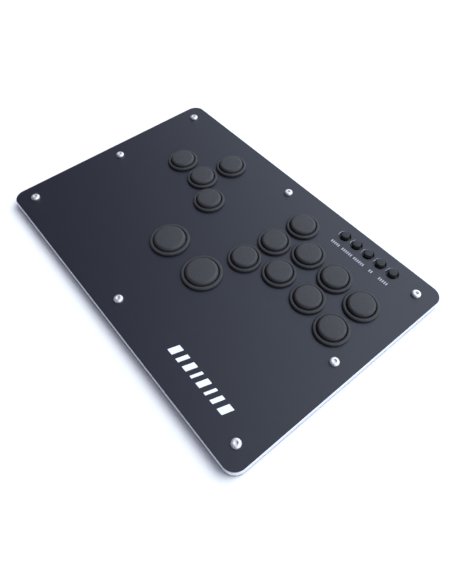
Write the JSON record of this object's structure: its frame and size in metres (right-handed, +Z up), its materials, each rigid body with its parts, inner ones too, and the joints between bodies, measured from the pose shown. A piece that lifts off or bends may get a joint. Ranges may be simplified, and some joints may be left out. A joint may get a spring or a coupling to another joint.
{
  "type": "arcade button controller",
  "caption": "Flat all-button arcade controller: slim rounded case with a dark face plate, large sprung arcade buttons, a row of small option buttons and a rear cable socket.",
  "frame": {"origin": "on the table under the centre of the case", "axes": "+X to the user's right along the long side, +Y away from the user, +Z up out of the face"},
  "size_m": [0.3, 0.2, 0.014],
  "materials": {
    "face_black": "fine matt black powder coat with bare bright cut edges",
    "base_black": "matt black powder coat",
    "frame_silver": "satin clear anodised, bead blasted",
    "collar_plastic": "matt moulded, fine texture",
    "plunger_plastic": "matt moulded, fine texture",
    "option_plastic": "matt moulded",
    "screw_steel": "bright stainless",
    "foot_rubber": "matt",
    "circuit_board": "dark solder mask with soldered switches",
    "chip_epoxy": "matt epoxy",
    "socket_steel": "plated sheet"
  },
  "bodies": {
    "case": {"top_plate": "face_black", "bottom_plate": "base_black", "frame_front": "frame_silver", "frame_left": "frame_silver", "frame_right": "frame_silver", "frame_back": "frame_silver", "foot_1": "foot_rubber", "foot_2": "foot_rubber", "foot_3": "foot_rubber", "foot_4": "foot_rubber", "case_screw_1": "screw_steel", "case_screw_2": "screw_steel", "case_screw_3": "screw_steel", "case_screw_4": "screw_steel", "case_screw_5": "screw_steel", "case_screw_6": "screw_steel", "case_screw_7": "screw_steel", "case_screw_8": "screw_steel", "board_screw_1": "screw_steel", "board_screw_2": "screw_steel", "board_screw_3": "screw_steel", "board_screw_4": "screw_steel", "collar_up": "collar_plastic", "collar_left": "collar_plastic", "collar_down": "collar_plastic", "collar_right": "collar_plastic", "collar_thumb_left": "collar_plastic", "collar_thumb_right": "collar_plastic", "collar_action_1": "collar_plastic", "collar_action_2": "collar_plastic", "collar_action_3": "collar_plastic", "collar_action_4": "collar_plastic", "collar_action_5": "collar_plastic", "collar_action_6": "collar_plastic", "collar_action_7": "collar_plastic", "collar_action_8": "collar_plastic", "collar_action_9": "collar_plastic", "switch_board": "circuit_board", "controller_chip": "chip_epoxy", "usb_socket": "socket_steel"},
    "button_up": {"plunger_up": "plunger_plastic"},
    "button_left": {"plunger_left": "plunger_plastic"},
    "button_down": {"plunger_down": "plunger_plastic"},
    "button_right": {"plunger_right": "plunger_plastic"},
    "button_thumb_left": {"plunger_thumb_left": "plunger_plastic"},
    "button_thumb_right": {"plunger_thumb_right": "plunger_plastic"},
    "button_action_1": {"plunger_action_1": "plunger_plastic"},
    "button_action_2": {"plunger_action_2": "plunger_plastic"},
    "button_action_3": {"plunger_action_3": "plunger_plastic"},
    "button_action_4": {"plunger_action_4": "plunger_plastic"},
    "button_action_5": {"plunger_action_5": "plunger_plastic"},
    "button_action_6": {"plunger_action_6": "plunger_plastic"},
    "button_action_7": {"plunger_action_7": "plunger_plastic"},
    "button_action_8": {"plunger_action_8": "plunger_plastic"},
    "button_action_9": {"plunger_action_9": "plunger_plastic"},
    "option_1": {"option_cap_1": "option_plastic"},
    "option_2": {"option_cap_2": "option_plastic"},
    "option_3": {"option_cap_3": "option_plastic"},
    "option_4": {"option_cap_4": "option_plastic"},
    "option_5": {"option_cap_5": "option_plastic"}
  },
  "joints": [
    {"name": "press_up", "type": "slide", "parent": "case", "child": "button_up", "axis": [0, 0, -1], "range_m": [0, 0.0025], "stiffness_N_per_m": 150, "springref_m": -0.0015},
    {"name": "press_left", "type": "slide", "parent": "case", "child": "button_left", "axis": [0, 0, -1], "range_m": [0, 0.0025], "stiffness_N_per_m": 150, "springref_m": -0.0015},
    {"name": "press_down", "type": "slide", "parent": "case", "child": "button_down", "axis": [0, 0, -1], "range_m": [0, 0.0025], "stiffness_N_per_m": 150, "springref_m": -0.0015},
    {"name": "press_right", "type": "slide", "parent": "case", "child": "button_right", "axis": [0, 0, -1], "range_m": [0, 0.0025], "stiffness_N_per_m": 150, "springref_m": -0.0015},
    {"name": "press_thumb_left", "type": "slide", "parent": "case", "child": "button_thumb_left", "axis": [0, 0, -1], "range_m": [0, 0.0025], "stiffness_N_per_m": 180, "springref_m": -0.0015},
    {"name": "press_thumb_right", "type": "slide", "parent": "case", "child": "button_thumb_right", "axis": [0, 0, -1], "range_m": [0, 0.0025], "stiffness_N_per_m": 180, "springref_m": -0.0015},
    {"name": "press_action_1", "type": "slide", "parent": "case", "child": "button_action_1", "axis": [0, 0, -1], "range_m": [0, 0.0025], "stiffness_N_per_m": 150, "springref_m": -0.0015},
    {"name": "press_action_2", "type": "slide", "parent": "case", "child": "button_action_2", "axis": [0, 0, -1], "range_m": [0, 0.0025], "stiffness_N_per_m": 150, "springref_m": -0.0015},
    {"name": "press_action_3", "type": "slide", "parent": "case", "child": "button_action_3", "axis": [0, 0, -1], "range_m": [0, 0.0025], "stiffness_N_per_m": 150, "springref_m": -0.0015},
    {"name": "press_action_4", "type": "slide", "parent": "case", "child": "button_action_4", "axis": [0, 0, -1], "range_m": [0, 0.0025], "stiffness_N_per_m": 150, "springref_m": -0.0015},
    {"name": "press_action_5", "type": "slide", "parent": "case", "child": "button_action_5", "axis": [0, 0, -1], "range_m": [0, 0.0025], "stiffness_N_per_m": 150, "springref_m": -0.0015},
    {"name": "press_action_6", "type": "slide", "parent": "case", "child": "button_action_6", "axis": [0, 0, -1], "range_m": [0, 0.0025], "stiffness_N_per_m": 150, "springref_m": -0.0015},
    {"name": "press_action_7", "type": "slide", "parent": "case", "child": "button_action_7", "axis": [0, 0, -1], "range_m": [0, 0.0025], "stiffness_N_per_m": 150, "springref_m": -0.0015},
    {"name": "press_action_8", "type": "slide", "parent": "case", "child": "button_action_8", "axis": [0, 0, -1], "range_m": [0, 0.0025], "stiffness_N_per_m": 150, "springref_m": -0.0015},
    {"name": "press_action_9", "type": "slide", "parent": "case", "child": "button_action_9", "axis": [0, 0, -1], "range_m": [0, 0.0025], "stiffness_N_per_m": 150, "springref_m": -0.0015},
    {"name": "press_option_1", "type": "slide", "parent": "case", "child": "option_1", "axis": [0, 0, -1], "range_m": [0, 0.0005], "stiffness_N_per_m": 1200, "springref_m": -0.0003},
    {"name": "press_option_2", "type": "slide", "parent": "case", "child": "option_2", "axis": [0, 0, -1], "range_m": [0, 0.0005], "stiffness_N_per_m": 1200, "springref_m": -0.0003},
    {"name": "press_option_3", "type": "slide", "parent": "case", "child": "option_3", "axis": [0, 0, -1], "range_m": [0, 0.0005], "stiffness_N_per_m": 1200, "springref_m": -0.0003},
    {"name": "press_option_4", "type": "slide", "parent": "case", "child": "option_4", "axis": [0, 0, -1], "range_m": [0, 0.0005], "stiffness_N_per_m": 1200, "springref_m": -0.0003},
    {"name": "press_option_5", "type": "slide", "parent": "case", "child": "option_5", "axis": [0, 0, -1], "range_m": [0, 0.0005], "stiffness_N_per_m": 1200, "springref_m": -0.0003}
  ]
}
